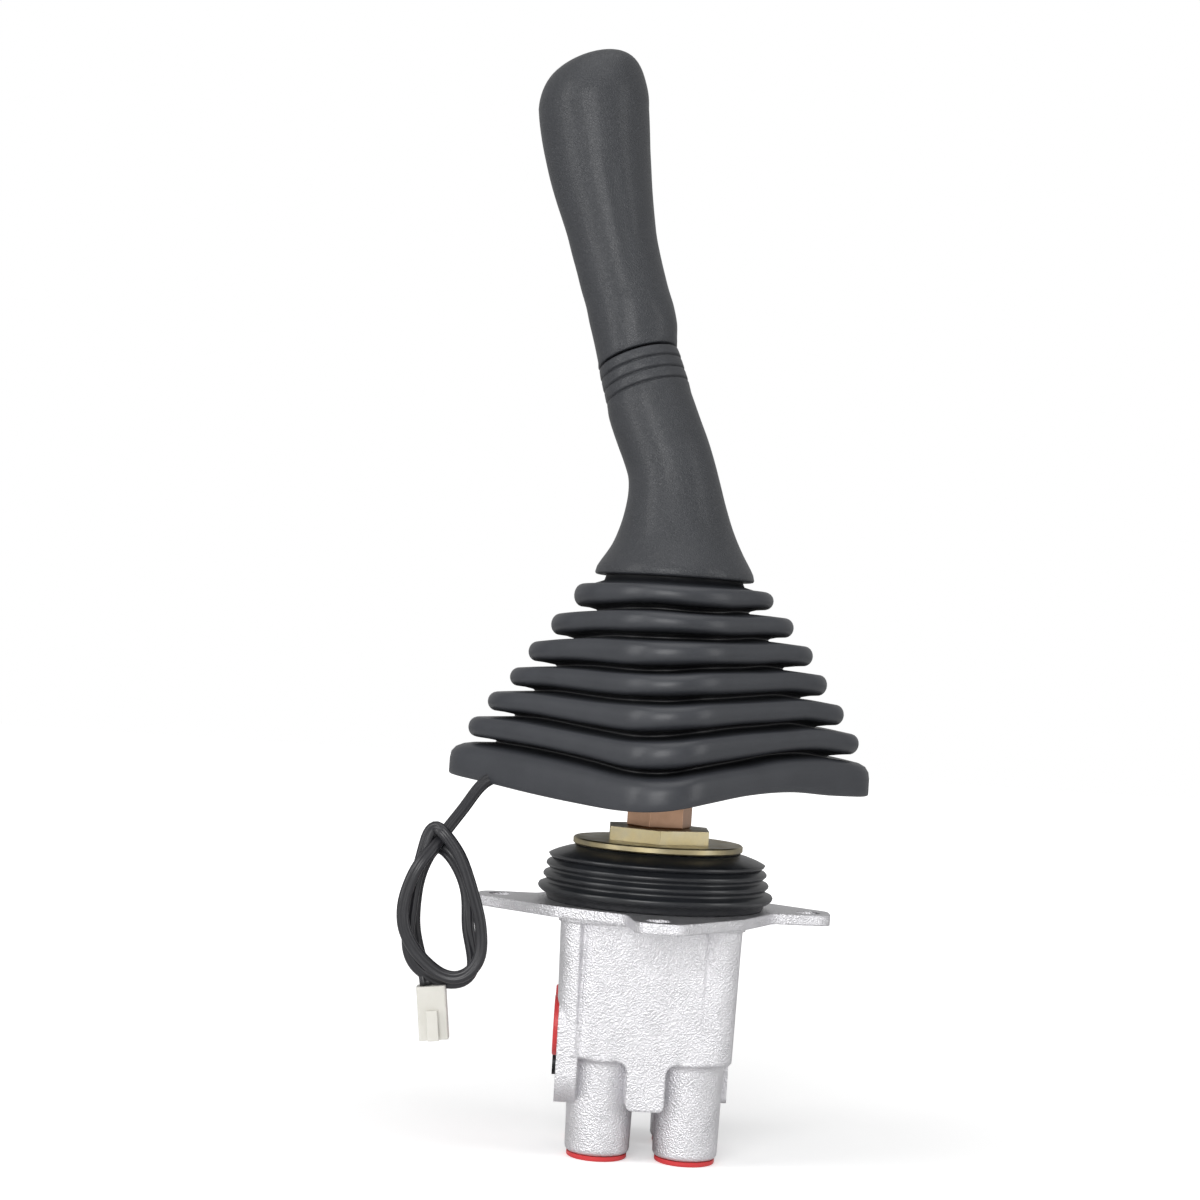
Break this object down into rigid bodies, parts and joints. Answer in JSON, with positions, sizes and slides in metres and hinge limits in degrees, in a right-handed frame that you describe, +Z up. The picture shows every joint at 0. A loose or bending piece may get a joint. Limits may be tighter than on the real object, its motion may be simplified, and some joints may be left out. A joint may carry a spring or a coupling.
{
  "type": "hydraulic pilot joystick valve",
  "caption": "Pilot control valve with a bent hand lever, rubber bellows, a lobed mounting flange and four metering ports underneath.",
  "frame": {"origin": "centre of the mounting flange's bolt circle, on the underside of the flange", "axes": "+Z up along the valve, towards the handle; +X to the operator's right; -Y towards the operator"},
  "size_m": [0.1746, 0.162, 0.4268],
  "materials": {
    "bellows_rubber": "moulded, satin",
    "black_plastic": "moulded",
    "black_steel": "black coated steel",
    "boot_rubber": "moulded, smooth",
    "bronze": "machined bronze",
    "cast_aluminium": "as cast, shot blasted",
    "cord_black": "soft PVC",
    "nylon_white": "moulded natural nylon",
    "red_plastic": "moulded polyethylene",
    "seal_rubber": "nitrile rubber",
    "soft_grip": "moulded with a fine leather grain",
    "spring_steel": "oiled spring wire",
    "steel": "ground steel",
    "zinc_copper": "copper toned plated steel",
    "zinc_yellow": "yellow zinc plated steel"
  },
  "bodies": {
    "valve_body": {"casing": "cast_aluminium", "retainer_plate": "steel", "pusher_guides": "bronze", "guide_o_rings": "seal_rubber", "pusher_seals": "seal_rubber", "lower_yoke": "steel", "small_boot": "boot_rubber", "port_plugs": "red_plastic", "side_port_plugs": "red_plastic", "gallery_plug": "black_steel", "return_spring_1": "spring_steel", "return_spring_2": "spring_steel", "return_spring_3": "spring_steel", "return_spring_4": "spring_steel"},
    "cross": {"joint_cross": "steel"},
    "lever": {"upper_yoke": "steel", "cam": "zinc_yellow", "lock_nut": "zinc_copper", "lever_socket": "zinc_copper", "lever_tube": "black_steel", "neck_sleeve": "soft_grip", "grip": "soft_grip", "outer_boot": "bellows_rubber", "button_bezel": "black_plastic", "button_switch": "black_plastic", "button_spring": "spring_steel", "cord_grommet": "seal_rubber", "cord_lead": "cord_black", "cord_coil": "cord_black", "connector_housing": "nylon_white", "connector_terminals": "steel"},
    "horn": {"horn_button": "red_plastic"},
    "pusher_1": {"pusher_1": "steel", "spring_seat_1": "steel"},
    "spool_1": {"spool_1": "steel", "shim_1": "steel", "balance_spring_1": "spring_steel"},
    "pusher_2": {"pusher_2": "steel", "spring_seat_2": "steel"},
    "spool_2": {"spool_2": "steel", "shim_2": "steel", "balance_spring_2": "spring_steel"},
    "pusher_3": {"pusher_3": "steel", "spring_seat_3": "steel"},
    "spool_3": {"spool_3": "steel", "shim_3": "steel", "balance_spring_3": "spring_steel"},
    "pusher_4": {"pusher_4": "steel", "spring_seat_4": "steel"},
    "spool_4": {"spool_4": "steel", "shim_4": "steel", "balance_spring_4": "spring_steel"}
  },
  "joints": [
    {"name": "tilt_one", "type": "hinge", "parent": "valve_body", "child": "cross", "pos_m": [0, 0, 0.0148], "axis": [0.7071, 0.7071, 0], "range_deg": [-19, 19], "stiffness_Nm_per_rad": 6, "deforming": ["small_boot"]},
    {"name": "tilt_two", "type": "hinge", "parent": "cross", "child": "lever", "pos_m": [0, 0, 0.0148], "axis": [-0.7071, 0.7071, 0], "range_deg": [-19, 19], "stiffness_Nm_per_rad": 6, "deforming": ["small_boot"]},
    {"name": "horn_press", "type": "slide", "parent": "lever", "child": "horn", "axis": [0, -1, 0], "range_m": [0, 0.002], "stiffness_N_per_m": 600, "springref_m": -0.001, "deforming": ["button_spring"]},
    {"name": "pusher_1_slide", "type": "slide", "parent": "valve_body", "child": "pusher_1", "axis": [0, 0, 1], "range_m": [-0.0082, 0.0082], "deforming": ["return_spring_1", "balance_spring_1"]},
    {"name": "spool_1_slide", "type": "slide", "parent": "valve_body", "child": "spool_1", "axis": [0, 0, 1], "range_m": [-0.0022, 0.0022]},
    {"name": "pusher_2_slide", "type": "slide", "parent": "valve_body", "child": "pusher_2", "axis": [0, 0, 1], "range_m": [-0.0082, 0.0082], "deforming": ["return_spring_2", "balance_spring_2"]},
    {"name": "spool_2_slide", "type": "slide", "parent": "valve_body", "child": "spool_2", "axis": [0, 0, 1], "range_m": [-0.0022, 0.0022]},
    {"name": "pusher_3_slide", "type": "slide", "parent": "valve_body", "child": "pusher_3", "axis": [0, 0, 1], "range_m": [-0.0082, 0.0082], "deforming": ["return_spring_3", "balance_spring_3"]},
    {"name": "spool_3_slide", "type": "slide", "parent": "valve_body", "child": "spool_3", "axis": [0, 0, 1], "range_m": [-0.0022, 0.0022]},
    {"name": "pusher_4_slide", "type": "slide", "parent": "valve_body", "child": "pusher_4", "axis": [0, 0, 1], "range_m": [-0.0082, 0.0082], "deforming": ["return_spring_4", "balance_spring_4"]},
    {"name": "spool_4_slide", "type": "slide", "parent": "valve_body", "child": "spool_4", "axis": [0, 0, 1], "range_m": [-0.0022, 0.0022]}
  ],
  "couplings": [
    {"joint": "pusher_1_slide", "follows": "tilt_two", "m_per_rad": -0.024125},
    {"joint": "spool_1_slide", "follows": "tilt_two", "m_per_rad": -0.006031},
    {"joint": "pusher_2_slide", "follows": "tilt_one", "m_per_rad": 0.024125},
    {"joint": "spool_2_slide", "follows": "tilt_one", "m_per_rad": 0.006031},
    {"joint": "pusher_3_slide", "follows": "tilt_two", "m_per_rad": 0.024125},
    {"joint": "spool_3_slide", "follows": "tilt_two", "m_per_rad": 0.006031},
    {"joint": "pusher_4_slide", "follows": "tilt_one", "m_per_rad": -0.024125},
    {"joint": "spool_4_slide", "follows": "tilt_one", "m_per_rad": -0.006031}
  ]
}
